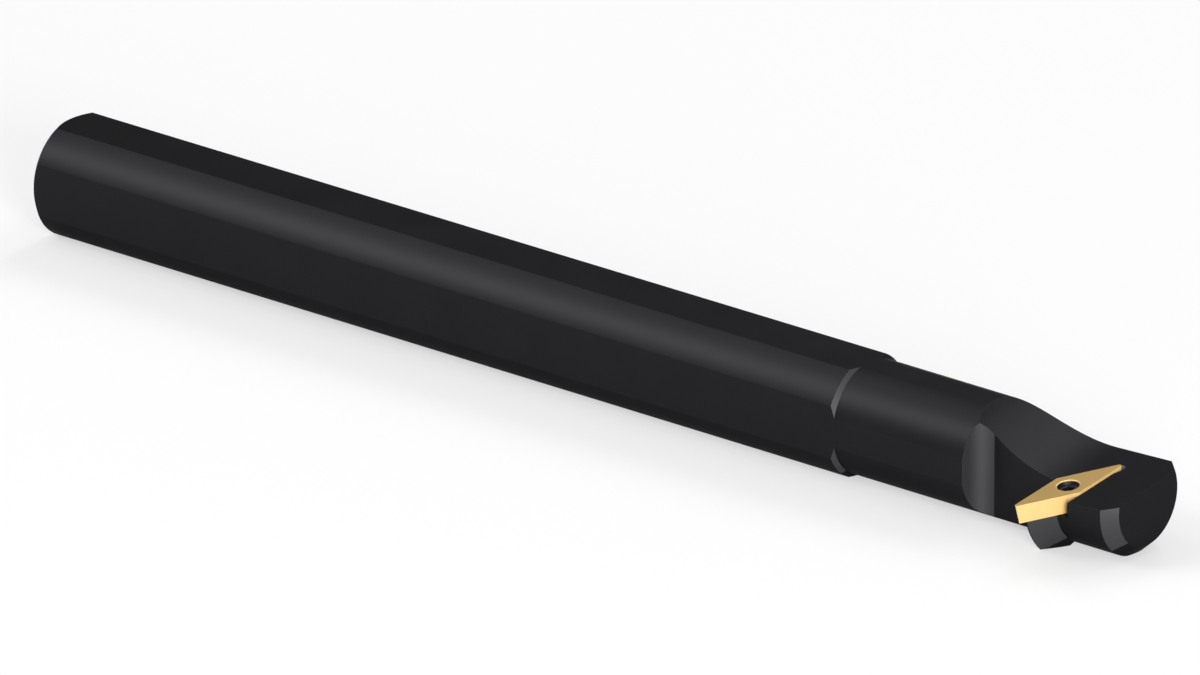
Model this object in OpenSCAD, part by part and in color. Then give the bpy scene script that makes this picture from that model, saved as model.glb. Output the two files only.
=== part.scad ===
// Back-boring bar with a screw-held diamond insert.
// +X runs along the bar from its back face to its head and +Z is up, square to the top flat.
// The insert reaches out on the -Y side. The origin is the centre of the back face.

/* [Shank] */
// Diameter of the round shank
shank_d = 20; // [19:0.5:24]
// Depth that each flat is cut into the shank's round
flat_cut = 1; // [0.8:0.1:1.5]
// Length of the round shank, from the back face to the neck
shank_len = 160; // [100:1:165]
// Chamfer around the back face
back_chamfer = 1; // [0.5:0.1:2]

/* [Neck and head] */
// How much smaller the neck's radius is than the shank's
neck_relief = 0.7; // [0.3:0.1:0.8]
// Length that the head runs on past the cutting nose
head_past_nose = 15.1; // [13:0.1:25]
// Length of the chamfer around the end face
end_chamfer = 2.2; // [0.5:0.1:3]
// Angle of this chamfer, from the bar's axis
end_chamfer_angle = 42; // [35:1:50]

/* [Insert] */
// Distance from the back face to the cutting nose
nose_x = 200; // [195:1:250]
// Distance from the bar's axis to the cutting nose
nose_reach = 14.2; // [13.5:0.1:15]
// Diameter of the circle that fits inside the diamond
insert_ic = 6.35; // [6:0.05:7]
// Thickness of the insert
insert_t = 3.18; // [2.8:0.01:3.5]
// Sharp corner angle of the diamond
insert_angle = 35; // [34:0.5:40]
// Radius of the rounded nose
nose_r = 0.4; // [0.3:0.1:0.8]
// Clearance angle of the insert's sides
insert_clearance = 5; // [3:1:7]
// Angle that the back-facing cutting edge leans off square
lead_angle = 3; // [1:0.5:5]
// Angle that the rake face climbs towards the end of the bar
rake_along = 3; // [1:0.5:5]
// Angle that the rake face climbs across the bar, away from the nose
rake_across = 7.5; // [5:0.5:9]

/* [Insert screw] */
// Thread diameter of the screw
screw_d = 2.5; // [2.2:0.1:2.7]
// Diameter of the screw's head
screw_head_d = 3.45; // [3.3:0.05:3.6]
// Height of the straight rim around the screw's head
screw_rim = 0.25; // [0.1:0.05:0.4]
// Depth of the screw's head below the rake face
screw_sink = 0.75; // [0.4:0.05:1]
// Length of thread that is held in the bar
screw_grip = 4; // [3:0.5:4.5]
// Full angle of the countersink under the head
countersink_angle = 60; // [55:5:70]
// Width of the six-lobe socket across its points
socket_d = 2.3; // [1.8:0.1:2.4]
// Depth of the socket
socket_depth = 0.95; // [0.5:0.05:1.1]
// Radius of each lobe of the socket
lobe_r = 0.3; // [0.25:0.05:0.35]

/* [Seat] */
// Height that the insert stands above the head's top face
insert_proud = 0.4; // [0.2:0.05:0.7]
// Gap between the insert's sides and the walls of its seat
seat_gap = 0.03; // [0.02:0.01:0.08]
// Gap around the screw's head and its thread
screw_gap = 0.05; // [0.03:0.01:0.08]
// Gap around the screw's shank in the insert
shank_gap = 0.15; // [0.1:0.05:0.25]
// Chamfer around the mouth of the insert's hole
hole_chamfer = 0.12; // [0.05:0.01:0.2]
// Radius of the relief in the seat's far corner
corner_relief_r = 1; // [0.6:0.1:1.2]
// Length that the relief opens the seat's walls, from the sharp corner
corner_relief_run = 3.4; // [2.5:0.1:4]
// Depth of the tapped hole past the end of the screw
hole_past_screw = 0.8; // [0.5:0.1:1]

/* [Boss] */
// Radius of the boss under the insert, from the bar's axis
boss_r = 12.5; // [11.5:0.1:12.8]
// Length of the boss's straight rim
boss_rim = 0.9; // [0.3:0.1:1]
// Angle of the boss's cone, from the bar's axis
boss_cone = 43; // [40:1:55]
// Margin between the foot of the insert's side and the boss's back face
boss_margin = 0.1; // [0.05:0.05:0.4]

/* [Reliefs] */
// Depth of the relief in the side flat, behind the insert
side_relief = 4.5; // [3.5:0.1:5]
// Radius of the side relief's corner
relief_corner_r = 3.2; // [2:0.1:3.5]
// Length of the side relief, back from the nose
side_relief_len = 14.1; // [8:0.1:20]
// Radius of the hollow that leads the chips away
gullet_r = 22.5; // [20:0.5:30]
// Angle that the hollow is turned in the head's top face
gullet_skew = 4.8; // [2:0.1:8]
// Distance from the nose to the hollow's end, square to the hollow
gullet_end = 4.1; // [3:0.1:5]

/* [Hidden] */
$fn = 96;

// How far a cut runs past the metal that it removes
over = 1;
// Further than any part of the head is from the insert
far = 4 * head_past_nose;
shank_r = shank_d / 2;
flat_at = shank_r - flat_cut;
neck_r = shank_r - neck_relief;
bar_len = nose_x + head_past_nose;

// The diamond, in its own frame: its two noses lie at the ends of X
inner_r = insert_ic / 2;
half_angle = insert_angle / 2;
half_long = inner_r / sin(half_angle);
half_short = inner_r / cos(half_angle);
nose_from_centre = (inner_r - nose_r) / sin(half_angle);
diamond_turn = 90 - lead_angle - half_angle;

// Directions that the diamond's four sides face, in the diamond's own frame
back_side = 90 + half_angle;
front_side = -back_side;
inner_sides = [90 - half_angle, half_angle - 90];

// The screw, measured down from the rake face
head_top = -screw_sink;
rim_end = head_top - screw_rim;
head_cone_h = (screw_head_d - screw_d) / 2 / tan(countersink_angle / 2);
screw_end = -insert_t - screw_grip;
drill_point_angle = 118;

// The boss's back face follows the foot of the insert's back-facing side
boss_setback = insert_t * (tan(insert_clearance) + sin(rake_along)) + boss_margin;
boss_foot_x = nose_x + boss_rim + (boss_r - neck_r) / tan(boss_cone);
relief_wall = side_relief - flat_at;
relief_start = nose_x - side_relief_len;
reach = boss_r + over;

// Everything on the rake face is placed from the centre of the nose's radius
module rake_frame() {
    translate([nose_x + nose_r, nose_r - nose_reach, 0])
        rotate([rake_across, -rake_along, 0])
            children();
}

// The centre of the diamond, with +X towards the far corner and +Z out of the rake face
module insert_frame() {
    rake_frame()
        rotate([0, 0, diamond_turn])
            translate([nose_from_centre, 0, 0])
                children();
}

// Round bar with its back chamfer, its step down to the neck and its end chamfer
module turned_bar() {
    rotate([0, 90, 0])
        rotate_extrude()
            polygon([
                [0, 0],
                [shank_r - back_chamfer, 0],
                [shank_r, back_chamfer],
                [shank_r, shank_len],
                [neck_r, shank_len + neck_relief],
                [neck_r, bar_len - end_chamfer],
                [neck_r - end_chamfer * tan(end_chamfer_angle), bar_len],
                [0, bar_len]
            ]);
}

// Top and bottom flats: the bar stays inside this block
module flats_block() {
    translate([-over, -shank_r - over, -flat_at])
        cube([bar_len + 2 * over, 2 * (shank_r + over), 2 * flat_at]);
}

// Near-side flat, which ends at the nose: the head past it is round on this side
module side_flat_cut() {
    translate([-over, -shank_r - over, -shank_r])
        cube([nose_x + over, flat_cut + over, 2 * shank_r]);
}

// Collar that carries the insert, outside the plane of the side relief's wall
module boss() {
    intersection() {
        rotate([0, 90, 0])
            rotate_extrude()
                polygon([
                    [0, nose_x - over],
                    [boss_r, nose_x - over],
                    [boss_r, nose_x + boss_rim],
                    [neck_r, boss_foot_x],
                    [0, boss_foot_x]
                ]);
        translate([nose_x - over, -reach, -flat_at])
            cube([boss_foot_x - nose_x + 2 * over, reach + relief_wall, 2 * flat_at]);
    }
}

// Relief behind the boss, cut straight through: a round corner, then a flat wall
module side_relief_cut() {
    lean = tan(lead_angle);
    face_x = nose_x + boss_setback;
    corner_x = relief_start + relief_corner_r;
    corner_y = relief_wall - relief_corner_r;
    translate([0, 0, -reach])
        linear_extrude(2 * reach)
            union() {
                translate([corner_x, corner_y])
                    circle(relief_corner_r);
                polygon([
                    [relief_start, -reach],
                    [face_x + lean * (nose_reach - reach), -reach],
                    [face_x + lean * (nose_reach + relief_wall), relief_wall],
                    [corner_x, relief_wall],
                    [corner_x, corner_y],
                    [relief_start, corner_y]
                ]);
            }
}

// Head's flat top face, running back into the round chip hollow
module gullet_cut() {
    rake_frame()
        rotate([0, 0, gullet_skew])
            translate([gullet_end, 0, -insert_proud])
                rotate([90, 0, 0])
                    linear_extrude(2 * far, center = true)
                        union() {
                            translate([0, gullet_r])
                                circle(gullet_r, $fn = 240);
                            square([far, 2 * gullet_r]);
                        }
}

// Metal outside one side of the diamond, with the insert's clearance, grown by a gap
module outside_of(side, gap = 0) {
    rotate([0, 0, side])
        translate([inner_r + gap, 0, 0])
            rotate([0, insert_clearance, 0])
                translate([0, -far, -far])
                    cube([far, 2 * far, 2 * far]);
}

// Seat of the insert: flat floor, open towards the nose and the front
module seat_cut() {
    insert_frame() {
        difference() {
            translate([-far, -far, -insert_t])
                cube([2 * far, 2 * far, insert_t + over]);
            outside_of(back_side, seat_gap);
            for (side = inner_sides)
                outside_of(side, seat_gap);
        }
        corner_relief_cut();
    }
}

// Relief in the seat's far corner, so that the insert's sharp corner never touches
module corner_relief_cut() {
    along = corner_relief_run * cos(half_angle);
    across = corner_relief_run * sin(half_angle) + seat_gap;
    translate([0, 0, -insert_t])
        linear_extrude(insert_t + over)
            union() {
                translate([nose_from_centre, 0])
                    circle(corner_relief_r);
                polygon([
                    [half_long - along, across],
                    [half_long - along, -across],
                    [nose_from_centre, -corner_relief_r],
                    [nose_from_centre, corner_relief_r]
                ]);
            }
}

// Blind tapped hole under the insert, with the drill's point at its end
module screw_hole() {
    hole_r = screw_d / 2 + screw_gap;
    hole_end = screw_end - hole_past_screw;
    point_h = hole_r / tan(drill_point_angle / 2);
    insert_frame()
        rotate_extrude()
            polygon([
                [0, over],
                [hole_r, over],
                [hole_r, hole_end],
                [0, hole_end - point_h]
            ]);
}

// The steel bar, one piece
module bar() {
    color([0.14, 0.14, 0.15])
        difference() {
            union() {
                difference() {
                    intersection() {
                        turned_bar();
                        flats_block();
                    }
                    side_flat_cut();
                }
                boss();
            }
            side_relief_cut();
            gullet_cut();
            seat_cut();
            screw_hole();
        }
}

// Rounded nose: a cone that narrows downwards with the insert's clearance
module nose() {
    cone_h = nose_r / tan(insert_clearance);
    intersection() {
        translate([nose_from_centre, 0, -cone_h])
            cylinder(h = cone_h, r1 = 0, r2 = nose_r);
        translate([0, -half_short, -insert_t])
            cube([half_long, 2 * half_short, insert_t]);
    }
}

// The sharp corner beyond a nose, up to where the round meets the straight sides
module sharp_corner() {
    translate([nose_from_centre, 0, -insert_t - over])
        linear_extrude(insert_t + 2 * over)
            polygon([
                [0, 0],
                2 * half_short * [sin(half_angle), cos(half_angle)],
                2 * half_short * [1 / sin(half_angle), 0],
                2 * half_short * [sin(half_angle), -cos(half_angle)]
            ]);
}

// Hole through the insert: chamfered mouth, straight recess, seat for the head and bore
module insert_hole() {
    recess_r = screw_head_d / 2 + screw_gap;
    bore_r = screw_d / 2 + shank_gap;
    seat_h = (recess_r - bore_r) / tan(countersink_angle / 2);
    mouth = hole_chamfer + over;
    rotate_extrude()
        polygon([
            [0, over],
            [recess_r + mouth, over],
            [recess_r, -hole_chamfer],
            [recess_r, rim_end],
            [bore_r, rim_end - seat_h],
            [bore_r, -insert_t - over],
            [0, -insert_t - over]
        ]);
}

// Gold-coated diamond insert
module insert() {
    color([0.80, 0.63, 0.35])
        insert_frame()
            difference() {
                union() {
                    difference() {
                        translate([-half_long, -half_short, -insert_t])
                            cube([2 * half_long, 2 * half_short, insert_t]);
                        outside_of(back_side);
                        outside_of(front_side);
                        for (side = inner_sides)
                            outside_of(side);
                        for (end = [0, 180])
                            rotate([0, 0, end])
                                sharp_corner();
                    }
                    for (end = [0, 180])
                        rotate([0, 0, end])
                            nose();
                }
                insert_hole();
            }
}

// Six-lobe socket in the screw's head
module socket() {
    lobe_at = socket_d / 2 - lobe_r;
    translate([0, 0, head_top - socket_depth])
        linear_extrude(socket_depth + over)
            union() {
                circle(lobe_at);
                for (turn = [0:60:300])
                    rotate(turn)
                        translate([lobe_at, 0])
                            circle(lobe_r, $fn = 24);
            }
}

// Countersunk clamp screw
module insert_screw() {
    color([0.20, 0.20, 0.21])
        insert_frame()
            difference() {
                rotate_extrude()
                    polygon([
                        [0, head_top],
                        [screw_head_d / 2, head_top],
                        [screw_head_d / 2, rim_end],
                        [screw_d / 2, rim_end - head_cone_h],
                        [screw_d / 2, screw_end],
                        [0, screw_end]
                    ]);
                socket();
            }
}

bar();
insert();
insert_screw();
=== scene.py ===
"""Looks of a back-boring bar: the blackened steel bar, its gold-coated insert and the clamp screw."""

import logging
from collections.abc import Callable
from dataclasses import dataclass, field
from enum import Enum
from math import cos, degrees, hypot, pi, radians, sin, tan

import bpy
from mathutils import Matrix, Vector


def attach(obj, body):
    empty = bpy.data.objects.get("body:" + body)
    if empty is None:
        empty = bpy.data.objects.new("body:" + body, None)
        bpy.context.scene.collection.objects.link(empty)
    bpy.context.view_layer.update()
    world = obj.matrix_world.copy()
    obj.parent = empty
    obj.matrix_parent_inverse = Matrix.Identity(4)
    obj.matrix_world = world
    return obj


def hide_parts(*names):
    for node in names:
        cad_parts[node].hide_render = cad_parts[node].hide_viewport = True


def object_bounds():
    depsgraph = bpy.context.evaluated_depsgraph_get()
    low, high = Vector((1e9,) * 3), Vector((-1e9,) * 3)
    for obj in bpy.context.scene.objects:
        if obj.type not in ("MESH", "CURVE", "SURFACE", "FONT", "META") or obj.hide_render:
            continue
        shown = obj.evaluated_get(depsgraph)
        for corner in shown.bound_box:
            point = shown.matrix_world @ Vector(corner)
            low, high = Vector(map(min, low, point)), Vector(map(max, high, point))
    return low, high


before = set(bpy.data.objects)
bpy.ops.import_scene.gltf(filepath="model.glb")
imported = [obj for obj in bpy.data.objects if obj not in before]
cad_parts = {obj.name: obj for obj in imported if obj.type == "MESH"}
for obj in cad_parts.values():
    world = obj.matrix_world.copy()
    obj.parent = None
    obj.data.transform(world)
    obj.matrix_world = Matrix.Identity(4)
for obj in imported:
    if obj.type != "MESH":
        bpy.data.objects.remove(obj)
cad_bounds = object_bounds()

log = logging.getLogger("boring_bar")

Piece = bpy.types.Object
Socket = bpy.types.NodeSocket
NodeTree = bpy.types.NodeTree
Material = bpy.types.Material
Colour = tuple[float, float, float]
FaceTest = Callable[[Vector, Vector], bool]

WHITE: Colour = (1.0, 1.0, 1.0)
X_AXIS, Y_AXIS, Z_AXIS = Vector((1, 0, 0)), Vector((0, 1, 0)), Vector((0, 0, 1))
# Turns what was made along +Z so that it lies along +X
LAY_DOWN = Matrix.Rotation(radians(90), 4, "Y")
# One millimetre, in metres
MM = 0.001
# How far a cutter runs past what it cuts, in mm
OVER = 1.0
# Distance that keeps two planes apart and is too small to see, in mm
HAIR = 0.01
# Distance within which two points are one, in metres
SAME = 1e-7
# Least part of a face's normal along an axis, for a face that counts as square to it
SQUARE = 0.999
# Largest angle between two faces that are in one plane, in degrees
FLAT = 0.2
# Smallest angle of an edge that is broken, in degrees
SHARP = 12.5


class Node(Enum):
    """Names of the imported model's nodes."""

    BAR = "bar"
    INSERT = "insert"
    SCREW = "insert_screw"


class Join(Enum):
    """Ways that a second solid changes a first one."""

    ADD = "UNION"
    CUT = "DIFFERENCE"


def rgba(colour: Colour) -> tuple[float, float, float, float]:
    """A colour with full alpha, as sockets take it."""
    return (*colour, 1.0)


class Graph:
    """Short calls for building a node tree.

    Args:
        tree: The node tree that the calls add to.
    """

    def __init__(self, tree: NodeTree) -> None:
        """Keeps the tree."""
        self.tree = tree

    def add(self, kind: str, **settings: object) -> bpy.types.Node:
        """Adds a node and sets its properties.

        Args:
            kind: The node's type name.
            settings: Properties of the node, by name.

        Returns:
            The new node.
        """
        node = self.tree.nodes.new(kind)
        for name, value in settings.items():
            setattr(node, name, value)
        return node

    def give(self, socket: Socket, value: object) -> None:
        """Links a socket to another one, or sets its value.

        Args:
            socket: The input.
            value: The socket to link, or a plain value.
        """
        if isinstance(value, Socket):
            self.tree.links.new(value, socket)
        else:
            socket.default_value = value

    def feed(self, node: bpy.types.Node, **values: object) -> bpy.types.Node:
        """Sets or links a node's inputs.

        Args:
            node: The node whose inputs are set.
            values: A socket to link, or a plain value, by the input's name with _ for a space.

        Returns:
            The same node.
        """
        for name, value in values.items():
            self.give(node.inputs[name.replace("_", " ")], value)
        return node

    def math(self, operation: str, first: object, second: object = 0.0) -> Socket:
        """Adds a Math node.

        Args:
            operation: The Math node's operation.
            first: The first socket or number.
            second: The second socket or number.

        Returns:
            The result's socket.
        """
        node = self.add("ShaderNodeMath", operation=operation)
        self.give(node.inputs[0], first)
        self.give(node.inputs[1], second)
        return node.outputs[0]


def new_group(name: str, inputs: dict[str, float], outputs: list[str]) -> Graph:
    """Makes an empty shader node group with named inputs and outputs.

    Args:
        name: The group's name.
        inputs: Each input's name and default value.
        outputs: The names of the outputs.

    Returns:
        A graph to build the group with.
    """
    group = bpy.data.node_groups.new(name, "ShaderNodeTree")
    for label, value in inputs.items():
        socket = group.interface.new_socket(label, in_out="INPUT", socket_type="NodeSocketFloat")
        socket.default_value = value
    for label in outputs:
        group.interface.new_socket(label, in_out="OUTPUT", socket_type="NodeSocketFloat")
    return Graph(group)


def grain_group() -> NodeTree:
    """Builds the fine grain of a surface and the larger clouds in its colour.

    Returns:
        A group with the inputs Grain Size and Cloud Size, in mm, and the outputs Grain and Cloud,
        each from 0 to 1.
    """
    graph = new_group("surface_grain", {"Grain Size": 0.2, "Cloud Size": 12.0}, ["Grain", "Cloud"])
    source = graph.add("NodeGroupInput")
    result = graph.add("NodeGroupOutput")
    here = graph.add("ShaderNodeTexCoord").outputs["Object"]
    for label, detail in (("Grain", 3.0), ("Cloud", 2.0)):
        noise = graph.add("ShaderNodeTexNoise")
        scale = graph.math("DIVIDE", 1 / MM, source.outputs[f"{label} Size"])
        graph.feed(noise, Vector=here, Scale=scale, Detail=detail, Roughness=0.55)
        graph.give(result.inputs[label], noise.outputs["Fac"])
    return graph.tree


def tool_marks_group() -> NodeTree:
    """Builds the fine lines that a turning tool or a grinding wheel leaves.

    Returns:
        A group with the inputs Spacing (mm), Along X, Along Y and Along Z, which weigh the axes
        that the lines are counted along, and the output Marks, from 0 to 1.
    """
    axes = ("X", "Y", "Z")
    graph = new_group("tool_marks", {"Spacing": 0.3} | {f"Along {axis}": 0.0 for axis in axes}, ["Marks"])
    source = graph.add("NodeGroupInput")
    result = graph.add("NodeGroupOutput")
    split = graph.add("ShaderNodeSeparateXYZ")
    graph.feed(split, Vector=graph.add("ShaderNodeTexCoord").outputs["Object"])
    travel = 0.0
    for axis in axes:
        share = graph.math("MULTIPLY", split.outputs[axis], source.outputs[f"Along {axis}"])
        travel = graph.math("ADD", share, travel)
    count = graph.math("DIVIDE", graph.math("MULTIPLY", travel, 1 / MM), source.outputs["Spacing"])
    lines = graph.add("ShaderNodeTexNoise", noise_dimensions="1D")
    graph.feed(lines, W=count, Scale=1.0, Detail=3.0, Roughness=0.6)
    graph.give(result.inputs["Marks"], lines.outputs["Fac"])
    return graph.tree


@dataclass(frozen=True)
class Finish:
    """A metal finish with its own grain, clouds and tool marks.

    Attributes:
        name: The material's name.
        colour: The colour where the finish is thickest.
        worn: The colour where the finish is thinnest.
        roughness: The lowest and highest roughness.
        grain: Size of the grain, in mm.
        cloud: Size of the clouds in the colour, in mm.
        marks: Spacing of the tool marks, in mm.
        along: The direction that the tool marks are counted along.
        metal: Share of the light that is mirrored as metal does, from 0 to 1; the rest is scattered.
        edge_tint: Brightness of reflections at a flat angle, from 0 to 1.
        grain_height: Height of the grain, in mm.
        mark_height: Height of the tool marks, in mm.
    """

    name: str
    colour: Colour
    worn: Colour
    roughness: tuple[float, float]
    grain: float
    cloud: float
    marks: float
    along: tuple[float, float, float] = (1.0, 0.0, 0.0)
    metal: float = 1.0
    edge_tint: float = 0.5
    grain_height: float = 0.001
    mark_height: float = 0.001

    def material(self, grain: NodeTree, marks: NodeTree) -> Material:
        """Builds the finish as a material.

        Args:
            grain: The surface_grain group.
            marks: The tool_marks group.

        Returns:
            The new material.
        """
        material = bpy.data.materials.new(self.name)
        material.use_nodes = True
        material.node_tree.nodes.clear()
        graph = Graph(material.node_tree)
        grained = graph.add("ShaderNodeGroup", node_tree=grain)
        graph.feed(grained, Grain_Size=self.grain, Cloud_Size=self.cloud)
        marked = graph.add("ShaderNodeGroup", node_tree=marks)
        graph.feed(marked, Spacing=self.marks)
        for axis, weight in zip("XYZ", self.along):
            marked.inputs[f"Along {axis}"].default_value = weight
        lines = marked.outputs["Marks"]
        wear = graph.math("MULTIPLY", graph.math("ADD", grained.outputs["Cloud"], lines), 0.5)
        grain_bump = graph.add("ShaderNodeBump")
        graph.feed(grain_bump, Height=grained.outputs["Grain"], Distance=self.grain_height * MM)
        mark_bump = graph.add("ShaderNodeBump")
        graph.feed(mark_bump, Height=lines, Distance=self.mark_height * MM, Normal=grain_bump.outputs[0])
        ramp = graph.add("ShaderNodeValToRGB")
        for stop, colour in zip(ramp.color_ramp.elements, (self.colour, self.worn)):
            stop.color = rgba(colour)
        graph.feed(ramp, Fac=wear)
        low, high = self.roughness
        rough = graph.feed(graph.add("ShaderNodeMapRange"), Value=wear, To_Min=low, To_Max=high)
        surface = graph.add("ShaderNodeBsdfPrincipled")
        graph.feed(
            surface,
            Base_Color=ramp.outputs["Color"],
            Metallic=self.metal,
            Roughness=rough.outputs[0],
            Specular_Tint=rgba((self.edge_tint,) * 3),
            Normal=mark_bump.outputs[0],
        )
        output = graph.add("ShaderNodeOutputMaterial")
        graph.feed(output, Surface=surface.outputs[0])
        return material


BLACK_OXIDE = Finish(
    name="black_oxide_steel",
    colour=(0.018, 0.018, 0.020),
    worn=(0.028, 0.028, 0.030),
    roughness=(0.42, 0.54),
    grain=0.18,
    cloud=9.0,
    marks=0.25,
    grain_height=0.0015,
    mark_height=0.0015,
)
# Brighter steel painted on the lit side of the turned cones and on the side relief's back wall and round
# corner: a painted highlight
PAINTED_HIGHLIGHT = Finish(
    name="painted_highlight_steel",
    colour=(0.033, 0.033, 0.036),
    worn=(0.044, 0.044, 0.047),
    metal=0.5,
    roughness=(0.55, 0.65),
    grain=0.15,
    cloud=5.0,
    marks=0.2,
    grain_height=0.0015,
    mark_height=0.002,
)
RUBBED_EDGE = Finish(
    name="rubbed_edge_steel",
    colour=(0.019, 0.019, 0.021),
    worn=(0.032, 0.032, 0.034),
    roughness=(0.40, 0.50),
    grain=0.12,
    cloud=6.0,
    marks=0.25,
    mark_height=0.0,
)
GOLD_FLANK = Finish(
    name="gold_coated_flank",
    colour=(0.570, 0.368, 0.134),
    worn=(0.615, 0.413, 0.163),
    metal=0.1,
    edge_tint=0.8,
    roughness=(0.45, 0.55),
    grain=0.06,
    cloud=2.5,
    marks=0.05,
    along=(0.0, 0.0, 1.0),
    grain_height=0.0008,
    mark_height=0.0004,
)
GOLD_RAKE = Finish(
    name="gold_coated_rake_face",
    colour=(0.58, 0.37, 0.125),
    worn=(0.64, 0.43, 0.160),
    metal=0.8,
    edge_tint=0.8,
    roughness=(0.32, 0.42),
    grain=0.06,
    cloud=2.5,
    marks=0.06,
    along=(1.0, 0.4, 0.0),
    mark_height=0.0004,
)
# Bright steel painted on the shaded walls of the relief in the seat's far corner: painted light
CORNER_PAINTED_LIGHT = Finish(
    name="corner_painted_light_steel",
    colour=(0.24, 0.24, 0.25),
    worn=(0.32, 0.32, 0.33),
    metal=0.6,
    edge_tint=0.8,
    roughness=(0.40, 0.50),
    grain=0.12,
    cloud=2.0,
    marks=0.08,
    along=(0.0, 0.0, 1.0),
)
# Near-black colour painted inside the insert's hole below its mouth: painted shade of the recess
BORE_PAINTED_SHADE = Finish(
    name="bore_painted_shade",
    colour=(0.030, 0.027, 0.027),
    worn=(0.130, 0.118, 0.120),
    roughness=(0.35, 0.55),
    grain=0.08,
    cloud=0.6,
    marks=0.12,
    along=(1.0, 0.3, 0.0),
    mark_height=0.003,
)
SCREW_STEEL = Finish(
    name="dark_screw_steel",
    colour=(0.10, 0.10, 0.12),
    worn=(0.16, 0.16, 0.19),
    edge_tint=0.6,
    roughness=(0.30, 0.42),
    grain=0.08,
    cloud=1.5,
    marks=0.08,
    along=(0.0, 0.0, 1.0),
)


def only(piece: Piece) -> None:
    """Selects one object alone and makes it active.

    Args:
        piece: The object.
    """
    bpy.ops.object.select_all(action="DESELECT")
    piece.select_set(True)
    bpy.context.view_layer.objects.active = piece


def edit(piece: Piece) -> None:
    """Opens a piece in edit mode with all of it selected.

    Args:
        piece: The object, in object mode.
    """
    only(piece)
    bpy.ops.object.mode_set(mode="EDIT")
    bpy.ops.mesh.select_all(action="SELECT")


def leave_edit() -> None:
    """Goes back to object mode."""
    bpy.ops.object.mode_set(mode="OBJECT")


def place(piece: Piece, where: Matrix) -> None:
    """Moves a piece and writes its place into its mesh.

    Args:
        piece: The object to move.
        where: The move, in metres.
    """
    only(piece)
    piece.matrix_world = where @ piece.matrix_world
    bpy.ops.object.transform_apply(location=True, rotation=True, scale=True)


def clear_selection(piece: Piece, kind: str) -> None:
    """Sets what is selected in edit mode, and leaves none of it selected.

    Args:
        piece: The object, in object mode.
        kind: FACE or EDGE.
    """
    edit(piece)
    bpy.ops.mesh.select_mode(type=kind)
    bpy.ops.mesh.select_all(action="DESELECT")
    leave_edit()


def select_faces(piece: Piece, test: FaceTest) -> None:
    """Selects the faces that pass a test, and leaves the piece in edit mode.

    Args:
        piece: The object, in object mode.
        test: Takes a face's centre in mm and its normal.
    """
    clear_selection(piece, "FACE")
    for face in piece.data.polygons:
        face.select = test(face.center / MM, face.normal)
    bpy.ops.object.mode_set(mode="EDIT")


def facing(axis: Vector) -> FaceTest:
    """A test for the faces that are square to an axis and look along it."""
    return lambda centre, normal: normal.dot(axis) > SQUARE


def rod(radius: float, start: float, end: float, sides: int, name: str = "rod") -> Piece:
    """Adds a round rod along +Z.

    Args:
        radius: Its radius, in mm.
        start: Height of its lower end, in mm.
        end: Height of its upper end, in mm.
        sides: Number of its sides.
        name: The object's name.

    Returns:
        The rod.
    """
    middle = Vector((0, 0, (start + end) / 2)) * MM
    bpy.ops.mesh.primitive_cylinder_add(
        vertices=sides, radius=radius * MM, depth=(end - start) * MM, location=middle
    )
    piece = bpy.context.object
    piece.name = name
    place(piece, Matrix.Identity(4))
    return piece


def draw_out(piece: Piece, steps: list[tuple[float, float]], up: bool = True) -> None:
    """Extrudes the end face of a rod along Z in steps, each to a new height and radius.

    Args:
        piece: The rod.
        steps: The height and the radius after each step, in mm.
        up: True for the upper end, False for the lower end.
    """
    sign = 1 if up else -1
    points = [vertex.co for vertex in piece.data.vertices]
    end = max(points, key=lambda point: point.z * sign).z
    here = end / MM
    radius = max(point.xy.length for point in points if abs(point.z - end) < SAME) / MM
    select_faces(piece, facing(Z_AXIS * sign))
    for height, wide in steps:
        grow = wide / radius
        bpy.ops.mesh.extrude_region_move(TRANSFORM_OT_translate={"value": (0, 0, (height - here) * MM)})
        bpy.ops.transform.resize(value=(grow, grow, 1), center_override=(0, 0, height * MM))
        here, radius = height, wide
    leave_edit()


def block(low: tuple[float, float, float], high: tuple[float, float, float]) -> Piece:
    """Adds a block between two corners.

    Args:
        low: The lowest corner, in mm.
        high: The highest corner, in mm.

    Returns:
        The block.
    """
    start, end = Vector(low) * MM, Vector(high) * MM
    bpy.ops.mesh.primitive_cube_add(size=1, location=(start + end) / 2, scale=end - start)
    piece = bpy.context.object
    place(piece, Matrix.Identity(4))
    return piece


def trim(piece: Piece, point: Vector, normal: Vector) -> None:
    """Cuts a piece at a plane and closes it.

    Args:
        piece: The object.
        point: A point of the plane, in mm.
        normal: The plane's normal, towards the side that is thrown away.
    """
    edit(piece)
    bpy.ops.mesh.bisect(
        plane_co=point * MM, plane_no=normal, use_fill=True, clear_outer=True, threshold=SAME
    )
    leave_edit()


def combine(piece: Piece, other: Piece, join: Join) -> None:
    """Adds or cuts a second solid, which is used up.

    Args:
        piece: The object that stays.
        other: The second solid.
        join: What to do with it.
    """
    only(piece)
    modifier = piece.modifiers.new(join.name.lower(), "BOOLEAN")
    modifier.operation = join.value
    modifier.solver = "EXACT"
    modifier.object = other
    bpy.ops.object.modifier_apply(modifier=modifier.name)
    bpy.data.objects.remove(other)


def weld(piece: Piece, gap: float) -> None:
    """Merges points that nearly touch and faces that lie in one plane.

    Args:
        piece: The object.
        gap: Largest distance to merge, in mm.
    """
    edit(piece)
    bpy.ops.mesh.remove_doubles(threshold=gap * MM)
    bpy.ops.mesh.dissolve_limited(angle_limit=radians(FLAT))
    bpy.ops.mesh.normals_make_consistent(inside=False)
    leave_edit()


def give_slots(piece: Piece, materials: list[Material]) -> None:
    """Gives a piece its material slots, of which the first covers all of it.

    Args:
        piece: The object.
        materials: The material of each slot.
    """
    piece.data.materials.clear()
    for material in materials:
        piece.data.materials.append(material)


def slot_of(piece: Piece, finish: Finish) -> int:
    """The number of the slot that holds a finish."""
    return piece.data.materials.find(finish.name)


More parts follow.
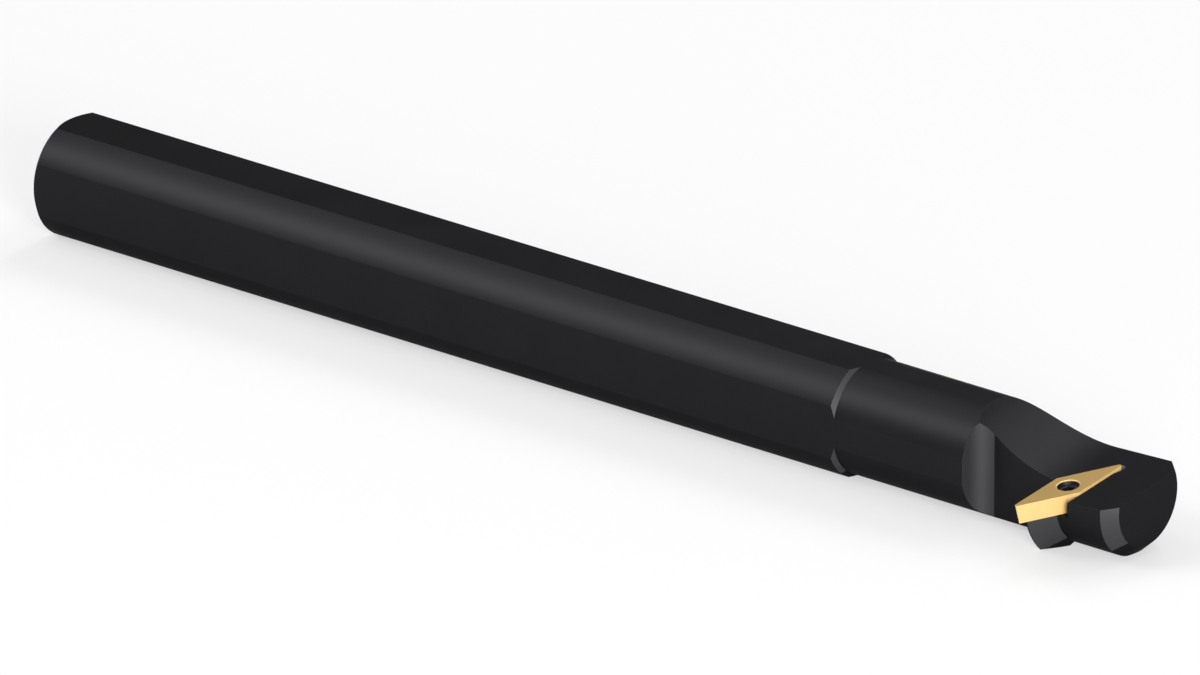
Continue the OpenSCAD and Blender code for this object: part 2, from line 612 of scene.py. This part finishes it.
def break_edges(piece: Piece, width: float, finish: Finish) -> None:
    """Rounds the sharp edges a little, as deburring does.

    Args:
        piece: The object.
        width: Width of the rounding, in mm.
        finish: The finish of the rounded edges.
    """
    only(piece)
    bevel = piece.modifiers.new("edge_break", "BEVEL")
    bevel.width = width * MM
    bevel.segments = 2
    bevel.limit_method = "ANGLE"
    bevel.angle_limit = radians(SHARP)
    bevel.use_clamp_overlap = False
    bevel.miter_outer = "MITER_ARC"
    bevel.material = slot_of(piece, finish)
    bpy.ops.object.modifier_apply(modifier=bevel.name)


def smooth(piece: Piece, crease: float = 50.0) -> None:
    """Smooths the shading, and keeps flat faces flat up to their broken edges.

    Args:
        piece: The object.
        crease: Smallest angle of an edge that stays sharp, in degrees.
    """
    only(piece)
    bpy.ops.object.shade_smooth_by_angle(angle=radians(crease))
    even = piece.modifiers.new("even_shading", "WEIGHTED_NORMAL")
    even.keep_sharp = True
    bpy.ops.object.modifier_apply(modifier=even.name)


def paint(piece: Piece, finish: Finish, test: FaceTest) -> None:
    """Gives the faces that pass a test another finish.

    Args:
        piece: The object.
        finish: The finish, which has a slot on the object.
        test: Takes a face's centre in mm and its normal.
    """
    select_faces(piece, test)
    piece.active_material_index = slot_of(piece, finish)
    bpy.ops.object.material_slot_assign()
    leave_edit()


def settle(piece: Piece, node: Node) -> None:
    """Lets a finished piece stand for its node.

    Args:
        piece: The finished piece.
        node: The node that it replaces.
    """
    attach(piece, "root")
    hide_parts(node.value)
    log.info("%s: %d faces", piece.name, len(piece.data.polygons))


@dataclass(frozen=True)
class Seating:
    """Where the insert sits, with the sizes that it shares with its seat and its screw, in mm and degrees.

    Attributes:
        nose_x: Distance from the back face to the cutting nose.
        nose_reach: Distance from the bar's axis to the cutting nose.
        circle: Diameter of the circle that fits inside the diamond.
        thickness: Thickness of the insert.
        corner: Sharp corner angle of the diamond.
        nose_r: Radius of the rounded nose.
        clearance: Clearance angle of the insert's sides.
        lead: Angle that the back-facing cutting edge leans off square.
        rake_along: Angle that the rake face climbs towards the end of the bar.
        rake_across: Angle that the rake face climbs across the bar.
        thread_d: Thread diameter of the screw.
        head_d: Diameter of the screw's head.
        head_rim: Height of the straight rim around the screw's head.
        head_sink: Depth of the screw's head below the rake face.
        grip: Length of thread that is held in the bar.
        countersink: Full angle of the countersink under the head.
        screw_gap: Gap around the screw's head and its thread.
        shank_gap: Gap around the screw's shank in the insert.
    """

    nose_x: float = 200.0
    nose_reach: float = 14.2
    circle: float = 6.35
    thickness: float = 3.18
    corner: float = 35.0
    nose_r: float = 0.4
    clearance: float = 5.0
    lead: float = 3.0
    rake_along: float = 3.0
    rake_across: float = 7.5
    thread_d: float = 2.5
    head_d: float = 3.45
    head_rim: float = 0.25
    head_sink: float = 0.75
    grip: float = 4.0
    countersink: float = 60.0
    screw_gap: float = 0.05
    shank_gap: float = 0.15

    @property
    def inner_r(self) -> float:
        """Radius of the circle that fits inside the diamond."""
        return self.circle / 2

    @property
    def half(self) -> float:
        """Half of the sharp corner angle, in radians."""
        return radians(self.corner / 2)

    @property
    def half_long(self) -> float:
        """Distance from the diamond's centre to a sharp corner before it is rounded."""
        return self.inner_r / sin(self.half)

    @property
    def nose_at(self) -> float:
        """Distance from the diamond's centre to the middle of a nose's radius."""
        return (self.inner_r - self.nose_r) / sin(self.half)

    @property
    def thread_end(self) -> float:
        """Height of the screw's end, measured from the rake face."""
        return -self.thickness - self.grip

    @property
    def rim_end(self) -> float:
        """Height of the lower end of the straight rim around the screw's head."""
        return -self.head_sink - self.head_rim

    def rake_frame(self) -> Matrix:
        """Place of the rake face, from the middle of the cutting nose's radius.

        Returns:
            The place, in metres.
        """
        corner = Vector((self.nose_x + self.nose_r, self.nose_r - self.nose_reach, 0)) * MM
        climb = Matrix.Rotation(radians(-self.rake_along), 4, "Y")
        return Matrix.Translation(corner) @ climb @ Matrix.Rotation(radians(self.rake_across), 4, "X")

    def insert_frame(self) -> Matrix:
        """Place of the diamond's centre, with +X towards its far corner and +Z out of its rake face."""
        turn = Matrix.Rotation(radians(90 - self.lead) - self.half, 4, "Z")
        return self.rake_frame() @ turn @ Matrix.Translation(Vector((self.nose_at * MM, 0, 0)))

    def side(self, direction: float, gap: float) -> tuple[Vector, Vector]:
        """Plane of one side of the diamond.

        Args:
            direction: Where the side faces in the diamond's own frame, in degrees from +X.
            gap: Distance outside the side, in mm.

        Returns:
            A point of the plane and its outward normal.
        """
        turn = Matrix.Rotation(radians(direction), 3, "Z")
        tilt = radians(self.clearance)
        return turn @ X_AXIS * (self.inner_r + gap), turn @ Vector((cos(tilt), 0, -sin(tilt)))


@dataclass
class Bar:
    """The steel bar: shank, neck, head and everything cut into them, in mm and degrees.

    Attributes:
        seating: Where the insert sits.
        shank_r: Radius of the round shank.
        flat_at: Distance from the axis to each flat; the near side's flat ends at the nose.
        shank_len: Length of the round shank.
        back_chamfer: Chamfer around the back face.
        neck_relief: How much smaller the neck's radius is than the shank's.
        end_past_nose: Length that the head runs on past the cutting nose.
        end_chamfer: Length of the chamfer around the end face.
        end_chamfer_angle: Angle of this chamfer, from the bar's axis.
        proud: Height that the insert stands above the head's top face.
        seat_gap: Gap between the insert's sides and the walls of its seat.
        corner_r: Radius of the relief in the seat's far corner.
        corner_run: Length that this relief opens the seat's walls, from the sharp corner.
        floor_step: How much deeper this relief is than the seat's floor.
        hole_past_screw: Depth of the tapped hole past the end of the screw.
        boss_r: Radius of the boss under the insert.
        boss_rim: Length of the boss's straight rim.
        boss_cone: Angle of the boss's cone, from the bar's axis.
        boss_margin: Margin between the foot of the insert's side and the boss's back face.
        relief_depth: Depth of the relief in the side flat.
        relief_corner_r: Radius of the side relief's corner.
        relief_len: Length of the side relief, back from the nose.
        gullet_r: Radius of the hollow that leads the chips away.
        gullet_skew: Angle that the hollow is turned in the head's top face.
        gullet_end: Distance from the nose to the hollow's end.
        drill_angle: Full angle of the point of the tapped hole.
        drill_tip: Radius that this point ends at.
        shade_below: Height of the normal below which the cones get no painted highlight and keep the black
            finish.
        cone_normal: Least and greatest part of a cone's normal along the bar.
        level: Largest part of a normal along an axis that a face counts as parallel to.
        near: Distance within which a face belongs to a cut.
        edge: Width of the broken edges.
        weld_gap: Largest distance between points that are merged.
        far: Further than any part of the head is from the insert.
        sides: Number of sides that stand for a full turn of the bar.
        gullet_sides: The same for the gullet.
        small_sides: The same for the hole and for the relief in the seat's corner.
        relief_steps: Number of steps in the side relief's round corner.
    """

    seating: Seating
    shank_r: float = 10.0
    flat_at: float = 9.0
    shank_len: float = 160.0
    back_chamfer: float = 1.0
    neck_relief: float = 0.7
    end_past_nose: float = 15.1
    end_chamfer: float = 2.2
    end_chamfer_angle: float = 42.0
    proud: float = 0.4
    seat_gap: float = 0.03
    corner_r: float = 1.0
    corner_run: float = 3.4
    floor_step: float = 0.01
    hole_past_screw: float = 0.8
    boss_r: float = 12.5
    boss_rim: float = 0.9
    boss_cone: float = 43.0
    boss_margin: float = 0.1
    relief_depth: float = 4.5
    relief_corner_r: float = 3.2
    relief_len: float = 14.1
    gullet_r: float = 22.5
    gullet_skew: float = 4.8
    gullet_end: float = 4.1
    drill_angle: float = 118.0
    drill_tip: float = 0.02
    shade_below: float = -0.55
    cone_normal: tuple[float, float] = (0.6, 0.8)
    level: float = 0.1
    near: float = 0.05
    edge: float = 0.03
    weld_gap: float = 0.06
    far: float = 60.0
    sides: int = 128
    gullet_sides: int = 384
    small_sides: int = 32
    relief_steps: int = 21

    @property
    def neck_r(self) -> float:
        """Radius of the neck and the head."""
        return self.shank_r - self.neck_relief

    @property
    def end_x(self) -> float:
        """Distance from the back face to the end face."""
        return self.seating.nose_x + self.end_past_nose

    @property
    def boss_foot(self) -> float:
        """Distance from the back face to the foot of the boss's cone."""
        rise = self.boss_r - self.neck_r
        return self.seating.nose_x + self.boss_rim + rise / tan(radians(self.boss_cone))

    @property
    def relief_wall(self) -> float:
        """Distance from the axis to the side relief's flat wall, below zero on the near side."""
        return self.relief_depth - self.flat_at

    @property
    def relief_start(self) -> float:
        """Distance from the back face to the side relief's back wall."""
        return self.seating.nose_x - self.relief_len

    def turned(self) -> Piece:
        """Makes the round bar with its chamfers and its step down to the neck.

        Returns:
            The bar, along +X.
        """
        piece = rod(self.shank_r, self.back_chamfer, self.shank_len, self.sides, "bar_steel")
        draw_out(piece, [(0.0, self.shank_r - self.back_chamfer)], up=False)
        step = self.shank_len + self.neck_relief
        chamfer = self.end_x - self.end_chamfer
        end_r = self.neck_r - self.end_chamfer * tan(radians(self.end_chamfer_angle))
        draw_out(piece, [(step, self.neck_r), (chamfer, self.neck_r), (self.end_x, end_r)])
        place(piece, LAY_DOWN)
        side_flat = block((-OVER, -self.far, -self.far), (self.seating.nose_x, -self.flat_at, self.far))
        combine(piece, side_flat, Join.CUT)
        return piece

    def boss(self) -> Piece:
        """Makes the collar under the insert, outside the plane of the side relief's wall.

        Returns:
            The collar.
        """
        inside = self.neck_r / 2
        slope = tan(radians(self.boss_cone))
        tip = self.boss_foot + (self.neck_r - inside) / slope
        nose_x = self.seating.nose_x
        piece = rod(self.boss_r, nose_x - OVER, nose_x + self.boss_rim, self.sides)
        draw_out(piece, [(tip, inside)])
        place(piece, LAY_DOWN)
        # Just outside the wall's own plane, where the relief's cutter would leave a skin
        trim(piece, Y_AXIS * (self.relief_wall - HAIR), Y_AXIS)
        return piece

    def relief_cutter(self) -> Piece:
        """Makes the cutter of the relief behind the boss, with its round corner.

        Returns:
            The cutter.
        """
        seating = self.seating
        slope = tan(radians(seating.clearance)) + sin(radians(seating.rake_along))
        face_x = seating.nose_x + seating.thickness * slope + self.boss_margin
        low = (self.relief_start, -self.far, -self.far)
        piece = block(low, (self.far + face_x, self.relief_wall, self.far))
        clear_selection(piece, "EDGE")
        corner = Vector((self.relief_start, self.relief_wall)) * MM
        points = piece.data.vertices
        for edge in piece.data.edges:
            edge.select = all((points[index].co.xy - corner).length < SAME for index in edge.vertices)
        bpy.ops.object.mode_set(mode="EDIT")
        bpy.ops.mesh.bevel(offset=self.relief_corner_r * MM, segments=self.relief_steps, affect="EDGES")
        leave_edit()
        lead = radians(seating.lead)
        trim(piece, Vector((face_x, -seating.nose_reach, 0)), Vector((cos(lead), -sin(lead), 0)))
        return piece

    def gullet_cutter(self) -> Piece:
        """Makes the cutter of the head's flat top face and the round hollow behind it.

        Returns:
            The cutter.
        """
        piece = rod(self.gullet_r, -self.far, self.far, self.gullet_sides)
        lift = Matrix.Translation((0, 0, self.gullet_r * MM))
        place(piece, lift @ Matrix.Rotation(radians(90), 4, "X"))
        trim(piece, Vector(), X_AXIS)
        select_faces(piece, facing(X_AXIS))
        bpy.ops.mesh.extrude_region_move(TRANSFORM_OT_translate={"value": (self.far * MM, 0, 0)})
        leave_edit()
        skew = Matrix.Rotation(radians(self.gullet_skew), 4, "Z")
        start = Matrix.Translation(Vector((self.gullet_end, 0, -self.proud)) * MM)
        place(piece, self.seating.rake_frame() @ skew @ start)
        return piece

    def seat_cutter(self) -> Piece:
        """Makes the cutter of the insert's seat, open towards the nose and the front.

        Returns:
            The cutter.
        """
        seating = self.seating
        piece = block((-self.far, -self.far, -seating.thickness), (self.far, self.far, OVER))
        half = degrees(seating.half)
        for direction in (90 + half, 90 - half, half - 90):
            trim(piece, *seating.side(direction, self.seat_gap))
        trim(piece, X_AXIS * (seating.nose_at + self.corner_r / 2), X_AXIS)
        place(piece, seating.insert_frame())
        return piece

    def corner_cutter(self) -> Piece:
        """Makes the cutter of the relief in the seat's far corner.

        Returns:
            The cutter.
        """
        seating = self.seating
        wide = self.corner_run * sin(seating.half) + self.seat_gap
        start = seating.half_long - self.corner_run * cos(seating.half)
        piece = rod(self.corner_r, -seating.thickness - self.floor_step, OVER, self.small_sides)
        trim(piece, Vector(), -X_AXIS)
        select_faces(piece, facing(-X_AXIS))
        length = seating.nose_at - start
        bpy.ops.mesh.extrude_region_move(TRANSFORM_OT_translate={"value": (-length * MM, 0, 0)})
        bpy.ops.transform.resize(value=(1, wide / self.corner_r, 1), center_override=(0, 0, 0))
        leave_edit()
        place(piece, seating.insert_frame() @ Matrix.Translation((seating.nose_at * MM, 0, 0)))
        return piece

    def hole_cutter(self) -> Piece:
        """Makes the drill of the tapped hole, with its point.

        Returns:
            The cutter.
        """
        seating = self.seating
        radius = seating.thread_d / 2 + seating.screw_gap
        bottom = seating.thread_end - self.hole_past_screw
        point = (radius - self.drill_tip) / tan(radians(self.drill_angle / 2))
        piece = rod(radius, bottom, OVER, self.small_sides)
        draw_out(piece, [(bottom - point, self.drill_tip)], up=False)
        place(piece, seating.insert_frame())
        return piece

    def on_cone(self, centre: Vector, normal: Vector) -> bool:
        """Tells whether a face is on the lit part of one of the turned cones, where a highlight is
        painted.

        Args:
            centre: The face's centre, in mm.
            normal: Its normal.

        Returns:
            True for a face of the neck's, the boss's or the end's cone.
        """
        cones = [
            (self.shank_len, self.shank_len + self.neck_relief),
            (self.seating.nose_x + self.boss_rim, self.boss_foot),
            (self.end_x - self.end_chamfer, self.end_x),
        ]
        low, high = self.cone_normal
        on_one = any(start < centre.x < end for start, end in cones) and low < normal.x < high
        return on_one and normal.y < 0 and normal.z > self.shade_below

    def in_relief(self, centre: Vector, normal: Vector) -> bool:
        """Tells whether a face is in the side relief's back wall or its round corner, where a highlight is
        painted.

        Args:
            centre: The face's centre, in mm.
            normal: Its normal.

        Returns:
            True for such a face.
        """
        along = self.relief_start - self.near < centre.x < self.relief_start + self.relief_corner_r
        outside = centre.y < self.relief_wall - self.near
        return along and outside and normal.x > self.level and abs(normal.z) < self.level

    def in_corner(self, centre: Vector, normal: Vector) -> bool:
        """Tells whether a face is a wall of the relief in the seat's far corner, where light is painted on
        the shaded wall.

        Args:
            centre: The face's centre, in mm.
            normal: Its normal.

        Returns:
            True for such a face.
        """
        seating = self.seating
        home = seating.insert_frame()
        local = home.inverted() @ (centre * MM) / MM
        away = hypot(local.x - seating.nose_at, local.y)
        upright = abs(normal.dot(home.to_3x3() @ Z_AXIS)) < self.level
        return abs(away - self.corner_r) < self.near and local.z > -seating.thickness and upright

    def build(self, materials: list[Material]) -> None:
        """Makes the bar, breaks its edges and lets it stand for its node.

        Args:
            materials: The black finish, the painted highlight on the cones and the side relief, the rubbed
                edges and the painted light on the seat's corner relief.
        """
        piece = self.turned()
        combine(piece, self.boss(), Join.ADD)
        for outward in (Z_AXIS, -Z_AXIS):
            trim(piece, outward * self.flat_at, outward)
        cutters = [
            self.relief_cutter,
            self.gullet_cutter,
            self.seat_cutter,
            self.corner_cutter,
            self.hole_cutter,
        ]
        for cutter in cutters:
            combine(piece, cutter(), Join.CUT)
        give_slots(piece, materials)
        weld(piece, self.weld_gap)
        break_edges(piece, self.edge, RUBBED_EDGE)
        smooth(piece)
        # Painted highlight: brighter steel on the lit side of the cones and on the side relief's back wall
        # and corner
        paint(piece, PAINTED_HIGHLIGHT, self.on_cone)
        paint(piece, PAINTED_HIGHLIGHT, self.in_relief)
        # Painted light: bright steel on the shaded walls of the relief in the seat's far corner
        paint(piece, CORNER_PAINTED_LIGHT, self.in_corner)
        settle(piece, Node.BAR)


@dataclass
class Insert:
    """The coated diamond insert, in mm.

    Attributes:
        seating: Where it sits, with its sizes.
        mouth: Chamfer around the mouth of its hole.
        hone: Width of its honed edges.
        weld_gap: Largest distance between points that are merged.
        slab: Thickness of the slab that spans the two blunt corners.
        sides: Number of sides that stand for a full turn.
    """

    seating: Seating
    mouth: float = 0.12
    hone: float = 0.04
    weld_gap: float = 0.002
    slab: float = 0.001
    sides: int = 96

    def body(self) -> Piece:
        """Makes the diamond with its two rounded noses and its clearance all round.

        Returns:
            The diamond, in its own frame.
        """
        seating = self.seating
        shrink = seating.thickness * tan(radians(seating.clearance))
        bottom = -seating.thickness
        wide = seating.inner_r / cos(seating.half)
        narrow = (seating.inner_r - shrink) / cos(seating.half)
        piece = block((0, -wide, bottom), (self.slab, wide, 0))
        select_faces(piece, facing(-Z_AXIS))
        bpy.ops.transform.resize(value=(1, narrow / wide, 1), center_override=(0, 0, bottom * MM))
        leave_edit()
        grow = seating.nose_r / (seating.nose_r - shrink)
        noses = []
        for side in (1, -1):
            nose = rod(seating.nose_r - shrink, bottom, 0, self.sides)
            select_faces(nose, facing(Z_AXIS))
            bpy.ops.transform.resize(value=(grow, grow, 1), center_override=(0, 0, 0))
            leave_edit()
            place(nose, Matrix.Translation((side * seating.nose_at * MM, 0, 0)))
            noses.append(nose)
        only(piece)
        for nose in noses:
            nose.select_set(True)
        bpy.ops.object.join()
        edit(piece)
        bpy.ops.mesh.convex_hull()
        leave_edit()
        weld(piece, self.weld_gap)
        return piece

    def hole_cutter(self) -> Piece:
        """Makes the cutter of the hole: bore, seat of the screw's head, recess and mouth.

        Returns:
            The cutter.
        """
        seating = self.seating
        bore = seating.thread_d / 2 + seating.shank_gap
        recess = seating.head_d / 2 + seating.screw_gap
        seat = (recess - bore) / tan(radians(seating.countersink / 2))
        piece = rod(bore, -seating.thickness - OVER, seating.rim_end - seat, self.sides)
        opened = recess + self.mouth + OVER
        draw_out(piece, [(seating.rim_end, recess), (-self.mouth, recess), (OVER, opened)])
        return piece

    def build(self, materials: list[Material]) -> None:
        """Makes the insert, hones its edges and lets it stand for its node.

        Args:
            materials: The flank's coating, the rake face's coating and the painted shade inside the bore.
        """
        piece = self.body()
        piece.name = "diamond_insert"
        combine(piece, self.hole_cutter(), Join.CUT)
        give_slots(piece, materials)
        break_edges(piece, self.hone, GOLD_FLANK)
        smooth(piece)
        recess = self.seating.head_d / 2 + self.seating.screw_gap
        paint(piece, GOLD_RAKE, facing(Z_AXIS))
        # Painted shade: near-black colour on the walls inside the hole, below the mouth
        paint(piece, BORE_PAINTED_SHADE, lambda centre, _: centre.xy.length < recess and centre.z < -self.mouth)
        place(piece, self.seating.insert_frame())
        settle(piece, Node.INSERT)


@dataclass
class InsertScrew:
    """The countersunk clamp screw with its six-lobe socket and its thread, in mm.

    Attributes:
        seating: Where it sits, with its sizes.
        pitch: Pitch of the thread.
        thread_depth: Depth of the thread.
        thread_width: Width of the thread's ridge at its foot, as a share of the pitch.
        thread_root: How far the ridge reaches into the core.
        socket_d: Width of the socket across its lobes.
        socket_depth: Depth of the socket.
        lobe_r: Radius of each lobe.
        lobes: Number of lobes.
        lobe_step: How much shallower the lobes are than the socket's middle.
        socket_cone: Radius of the socket's pointed bottom, as a multiple of its depth.
        socket_tip: Radius that this point ends at.
        crease: Smallest angle of an edge that stays sharp in the shading, in degrees.
        edge: Width of the broken edges.
        sides: Number of sides that stand for a full turn.
        lobe_sides: The same for a lobe.
        thread_steps: Number of steps in one turn of the thread.
    """

    seating: Seating
    pitch: float = 0.45
    thread_depth: float = 0.25
    thread_width: float = 0.88
    thread_root: float = 0.05
    socket_d: float = 2.3
    socket_depth: float = 0.95
    lobe_r: float = 0.3
    lobes: int = 6
    lobe_step: float = 0.06
    socket_cone: float = 3.0
    socket_tip: float = 0.05
    crease: float = 40.0
    edge: float = 0.04
    sides: int = 64
    lobe_sides: int = 16
    thread_steps: int = 32

    def shank(self) -> Piece:
        """Makes the head, the plain shank and the core of the thread.

        Returns:
            The screw, in the insert's frame.
        """
        seating = self.seating
        major = seating.thread_d / 2
        core = major - self.thread_depth
        run_out = -seating.thickness
        cone = (seating.head_d / 2 - major) / tan(radians(seating.countersink / 2))
        piece = rod(core, seating.thread_end, run_out - self.thread_depth, self.sides, "clamp_screw")
        draw_out(
            piece,
            [
                (run_out, major),
                (seating.rim_end - cone, major),
                (seating.rim_end, seating.head_d / 2),
                (-seating.head_sink, seating.head_d / 2),
            ],
        )
        return piece

    def thread(self) -> Piece:
        """Makes the thread as one closed ridge that winds around the core.

        Returns:
            The ridge.
        """
        seating = self.seating
        rise = self.thread_depth + self.thread_root
        foot = self.pitch * self.thread_width / 2
        # A triangle with equal sides is one and a half times as high as its circle's radius
        radius = foot / sin(radians(60))
        height = 1.5 * radius
        bpy.ops.mesh.primitive_circle_add(vertices=3, radius=radius * MM)
        piece = bpy.context.object
        edit(piece)
        bpy.ops.transform.resize(value=(1, rise / height, 1), center_override=(0, 0, 0))
        leave_edit()
        tip_out = Matrix.Rotation(radians(90), 4, "X") @ Matrix.Rotation(radians(-90), 4, "Z")
        middle = Vector((seating.thread_d / 2 - rise * 2 / 3, 0, seating.thread_end + foot))
        place(piece, Matrix.Translation(middle * MM) @ tip_out)
        wind = piece.modifiers.new("wind", "SCREW")
        wind.angle = radians(360)
        wind.screw_offset = self.pitch * MM
        wind.iterations = int((seating.grip - self.pitch) / self.pitch)
        wind.steps = wind.render_steps = self.thread_steps
        wind.use_merge_vertices = True
        wind.merge_threshold = SAME
        bpy.ops.object.modifier_apply(modifier=wind.name)
        edit(piece)
        bpy.ops.mesh.fill_holes(sides=3)
        bpy.ops.mesh.normals_make_consistent(inside=False)
        leave_edit()
        return piece

    def socket_cutters(self) -> list[Piece]:
        """Makes the cutters of the socket: a round core with a pointed bottom, and the lobes.

        Returns:
            The cutters.
        """
        top = -self.seating.head_sink
        bottom = top - self.socket_depth
        lobe_at = self.socket_d / 2 - self.lobe_r
        core = rod(lobe_at, bottom, top + OVER, self.sides)
        draw_out(core, [(bottom - lobe_at / self.socket_cone, self.socket_tip)], up=False)
        cutters = [core]
        for index in range(self.lobes):
            lobe = rod(self.lobe_r, bottom + self.lobe_step, top + OVER, self.lobe_sides)
            turn = Matrix.Rotation(radians(360 / self.lobes * index), 4, "Z")
            place(lobe, turn @ Matrix.Translation((lobe_at * MM, 0, 0)))
            cutters.append(lobe)
        return cutters

    def build(self, material: Material) -> None:
        """Makes the screw and lets it stand for its node.

        Args:
            material: The screw's steel.
        """
        piece = self.shank()
        give_slots(piece, [material])
        break_edges(piece, self.edge, SCREW_STEEL)
        for cutter in self.socket_cutters():
            combine(piece, cutter, Join.CUT)
        combine(piece, self.thread(), Join.ADD)
        smooth(piece, self.crease)
        place(piece, self.seating.insert_frame())
        settle(piece, Node.SCREW)


@dataclass
class Softbox:
    """A rectangular soft light that faces the middle of the bar.

    Attributes:
        name: The light's name.
        azimuth: Direction from the bar, in degrees from +X towards +Y.
        elevation: Direction above the floor, in degrees.
        width: Width of the light, in metres.
        height: Height of the light, in metres.
        radiance: Brightness of its face, where 1 looks white.
        distance: Distance from the bar, in metres.
    """

    name: str
    azimuth: float
    elevation: float
    width: float
    height: float
    radiance: float
    distance: float = 1.2

    def place(self, target: Vector) -> None:
        """Adds the light.

        Args:
            target: The point that it faces.
        """
        turn, rise = radians(self.azimuth), radians(self.elevation)
        level = cos(rise)
        direction = Vector((level * cos(turn), level * sin(turn), sin(rise)))
        bpy.ops.object.light_add(type="AREA", location=target + direction * self.distance)
        lamp = bpy.context.object
        lamp.name = self.name
        lamp.rotation_euler = direction.to_track_quat("Z", "Y").to_euler()
        lamp.data.shape = "RECTANGLE"
        lamp.data.size = self.width
        lamp.data.size_y = self.height
        lamp.data.energy = self.radiance * pi * self.width * self.height


@dataclass
class Studio:
    """Floor, lights, surroundings and camera.

    Attributes:
        floor_size: Width of the square floor, in metres.
        floor_colour: Colour of the floor.
        floor_glow: Share of plain white that the camera sees in the floor.
        surroundings: Brightness of the room around the floor.
        view: Direction from the bar to the camera.
        look_at: Point at the middle of the picture, in metres.
        lens: Focal length, in mm.
        sensor: Width of the camera's sensor, in mm.
        picture_width: Width of the picture at the bar, in metres.
        softboxes: The lights.
    """

    floor_size: float = 12.0
    floor_colour: Colour = (0.71, 0.71, 0.71)
    floor_glow: float = 0.5
    surroundings: float = 0.33
    view: tuple[float, float, float] = (0.578, -0.7215, 0.381)
    look_at: tuple[float, float, float] = (0.106934, 0.000281, -0.000802)
    lens: float = 900.0
    sensor: float = 36.0
    picture_width: float = 0.1869
    softboxes: list[Softbox] = field(
        default_factory=lambda: [
            Softbox("camera_side", azimuth=-38, elevation=14, width=0.4, height=0.6, radiance=27.0),
            Softbox("front_left", azimuth=-138, elevation=40, width=0.45, height=0.45, radiance=9.5),
            Softbox("back_right", azimuth=80, elevation=46, width=1.1, height=0.5, radiance=3.2),
            Softbox("back_middle", azimuth=105, elevation=45, width=0.35, height=0.35, radiance=4.0),
            Softbox("overhead_left", azimuth=178, elevation=58, width=0.7, height=0.7, radiance=1.8),
        ]
    )

    def build(self) -> None:
        """Makes the floor, the surroundings, the lights and the camera."""
        self.floor()
        self.room()
        target = Vector(self.look_at)
        for softbox in self.softboxes:
            softbox.place(target)
        self.camera(target)
        log.info("studio: floor, %d lights, camera", len(self.softboxes))

    def floor(self) -> None:
        """Makes the floor under the bar's lowest point."""
        lowest = cad_bounds[0].z
        bpy.ops.mesh.primitive_plane_add(size=self.floor_size, location=(0, 0, lowest))
        floor = bpy.context.object
        floor.name = "floor"
        material = bpy.data.materials.new("pale_floor")
        material.use_nodes = True
        material.node_tree.nodes.clear()
        graph = Graph(material.node_tree)
        matt = graph.feed(graph.add("ShaderNodeBsdfDiffuse"), Color=rgba(self.floor_colour))
        glow = graph.feed(graph.add("ShaderNodeEmission"), Color=rgba(WHITE), Strength=1.0)
        seen = graph.add("ShaderNodeLightPath").outputs["Is Camera Ray"]
        mix = graph.add("ShaderNodeMixShader")
        graph.feed(mix, Fac=graph.math("MULTIPLY", seen, self.floor_glow))
        graph.give(mix.inputs[1], matt.outputs[0])
        graph.give(mix.inputs[2], glow.outputs[0])
        graph.feed(graph.add("ShaderNodeOutputMaterial"), Surface=mix.outputs[0])
        floor.data.materials.append(material)

    def room(self) -> None:
        """Sets the even light around the floor."""
        world = bpy.data.worlds.new("room")
        bpy.context.scene.world = world
        world.use_nodes = True
        background = world.node_tree.nodes["Background"]
        background.inputs["Color"].default_value = rgba(WHITE)
        background.inputs["Strength"].default_value = self.surroundings

    def camera(self, target: Vector) -> None:
        """Places the camera.

        Args:
            target: The point at the middle of the picture.
        """
        direction = Vector(self.view).normalized()
        distance = self.lens / self.sensor * self.picture_width
        bpy.ops.object.camera_add(location=target + direction * distance)
        camera = bpy.context.object
        camera.name = "camera"
        camera.rotation_euler = direction.to_track_quat("Z", "Y").to_euler()
        camera.data.lens = self.lens
        camera.data.sensor_width = self.sensor
        camera.data.clip_end = 4 * distance
        bpy.context.scene.camera = camera


def main() -> None:
    """Builds the looks in order and reports each piece."""
    logging.basicConfig(level=logging.INFO, format="%(name)s: %(message)s")
    bpy.context.scene.view_settings.view_transform = "Standard"
    grain = grain_group()
    marks = tool_marks_group()
    steel_finishes = (BLACK_OXIDE, PAINTED_HIGHLIGHT, RUBBED_EDGE, CORNER_PAINTED_LIGHT)
    steel = [finish.material(grain, marks) for finish in steel_finishes]
    gold = [finish.material(grain, marks) for finish in (GOLD_FLANK, GOLD_RAKE, BORE_PAINTED_SHADE)]
    seating = Seating()
    Bar(seating).build(steel)
    Insert(seating).build(gold)
    InsertScrew(seating).build(SCREW_STEEL.material(grain, marks))
    Studio().build()


if __name__ == "__main__":
    main()
